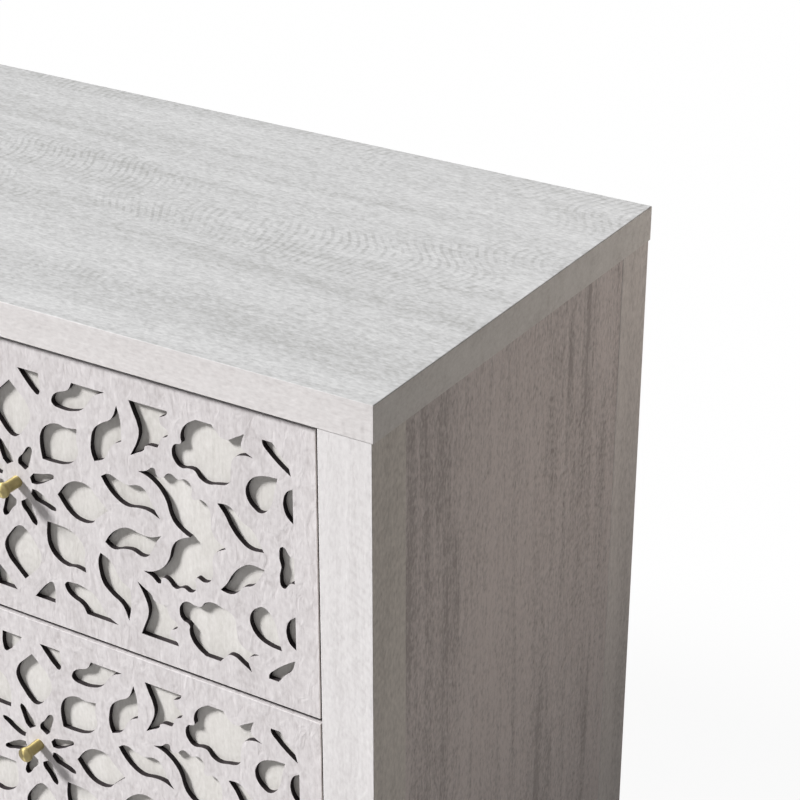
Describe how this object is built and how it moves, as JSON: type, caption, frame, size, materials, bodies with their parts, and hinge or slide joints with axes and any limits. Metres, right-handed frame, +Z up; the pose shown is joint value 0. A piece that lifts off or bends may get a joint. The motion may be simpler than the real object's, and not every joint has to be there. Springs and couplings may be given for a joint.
{
  "type": "dresser",
  "caption": "Whitewashed wooden chest of drawers on square corner posts, with pierced floral fretwork drawer fronts and small brass knobs.",
  "frame": {"origin": "centre of the bounding box's lower face, on the floor between the legs", "axes": "+X to the right as seen from the front, +Y to the back, +Z up"},
  "size_m": [1.18, 0.4144, 0.8],
  "materials": {
    "whitewashed_wood": "whitewashed, matte",
    "fretwork_board": "white lime wash, matte",
    "plain_wood": "bare, sanded",
    "plywood": "bare plywood",
    "brass": "satin"
  },
  "bodies": {
    "case": {"top_board": "whitewashed_wood", "back_panel": "plywood", "bottom_panel": "plywood", "front_bottom_rail": "whitewashed_wood", "rear_bottom_rail": "whitewashed_wood", "centre_stile": "whitewashed_wood", "centre_partition": "plain_wood", "front_left_post": "whitewashed_wood", "rear_left_post": "whitewashed_wood", "left_side_panel": "whitewashed_wood", "left_side_runners": "plain_wood", "left_partition_runners": "plain_wood", "front_right_post": "whitewashed_wood", "rear_right_post": "whitewashed_wood", "right_side_panel": "whitewashed_wood", "right_side_runners": "plain_wood", "right_partition_runners": "plain_wood"},
    "bottom_left_drawer": {"bottom_left_drawer_front": "whitewashed_wood", "bottom_left_drawer_fretwork": "fretwork_board", "bottom_left_drawer_left_side": "plain_wood", "bottom_left_drawer_right_side": "plain_wood", "bottom_left_drawer_back": "plain_wood", "bottom_left_drawer_bottom": "plywood", "bottom_left_drawer_knob": "brass"},
    "bottom_right_drawer": {"bottom_right_drawer_front": "whitewashed_wood", "bottom_right_drawer_fretwork": "fretwork_board", "bottom_right_drawer_left_side": "plain_wood", "bottom_right_drawer_right_side": "plain_wood", "bottom_right_drawer_back": "plain_wood", "bottom_right_drawer_bottom": "plywood", "bottom_right_drawer_knob": "brass"},
    "middle_left_drawer": {"middle_left_drawer_front": "whitewashed_wood", "middle_left_drawer_fretwork": "fretwork_board", "middle_left_drawer_left_side": "plain_wood", "middle_left_drawer_right_side": "plain_wood", "middle_left_drawer_back": "plain_wood", "middle_left_drawer_bottom": "plywood", "middle_left_drawer_knob": "brass"},
    "middle_right_drawer": {"middle_right_drawer_front": "whitewashed_wood", "middle_right_drawer_fretwork": "fretwork_board", "middle_right_drawer_left_side": "plain_wood", "middle_right_drawer_right_side": "plain_wood", "middle_right_drawer_back": "plain_wood", "middle_right_drawer_bottom": "plywood", "middle_right_drawer_knob": "brass"},
    "top_left_drawer": {"top_left_drawer_front": "whitewashed_wood", "top_left_drawer_fretwork": "fretwork_board", "top_left_drawer_left_side": "plain_wood", "top_left_drawer_right_side": "plain_wood", "top_left_drawer_back": "plain_wood", "top_left_drawer_bottom": "plywood", "top_left_drawer_knob": "brass"},
    "top_right_drawer": {"top_right_drawer_front": "whitewashed_wood", "top_right_drawer_fretwork": "fretwork_board", "top_right_drawer_left_side": "plain_wood", "top_right_drawer_right_side": "plain_wood", "top_right_drawer_back": "plain_wood", "top_right_drawer_bottom": "plywood", "top_right_drawer_knob": "brass"}
  },
  "joints": [
    {"name": "bottom_left_drawer_slide", "type": "slide", "parent": "case", "child": "bottom_left_drawer", "axis": [0, -1, 0], "range_m": [0, 0.25]},
    {"name": "bottom_right_drawer_slide", "type": "slide", "parent": "case", "child": "bottom_right_drawer", "axis": [0, -1, 0], "range_m": [0, 0.25]},
    {"name": "middle_left_drawer_slide", "type": "slide", "parent": "case", "child": "middle_left_drawer", "axis": [0, -1, 0], "range_m": [0, 0.25]},
    {"name": "middle_right_drawer_slide", "type": "slide", "parent": "case", "child": "middle_right_drawer", "axis": [0, -1, 0], "range_m": [0, 0.25]},
    {"name": "top_left_drawer_slide", "type": "slide", "parent": "case", "child": "top_left_drawer", "axis": [0, -1, 0], "range_m": [0, 0.25]},
    {"name": "top_right_drawer_slide", "type": "slide", "parent": "case", "child": "top_right_drawer", "axis": [0, -1, 0], "range_m": [0, 0.25]}
  ]
}
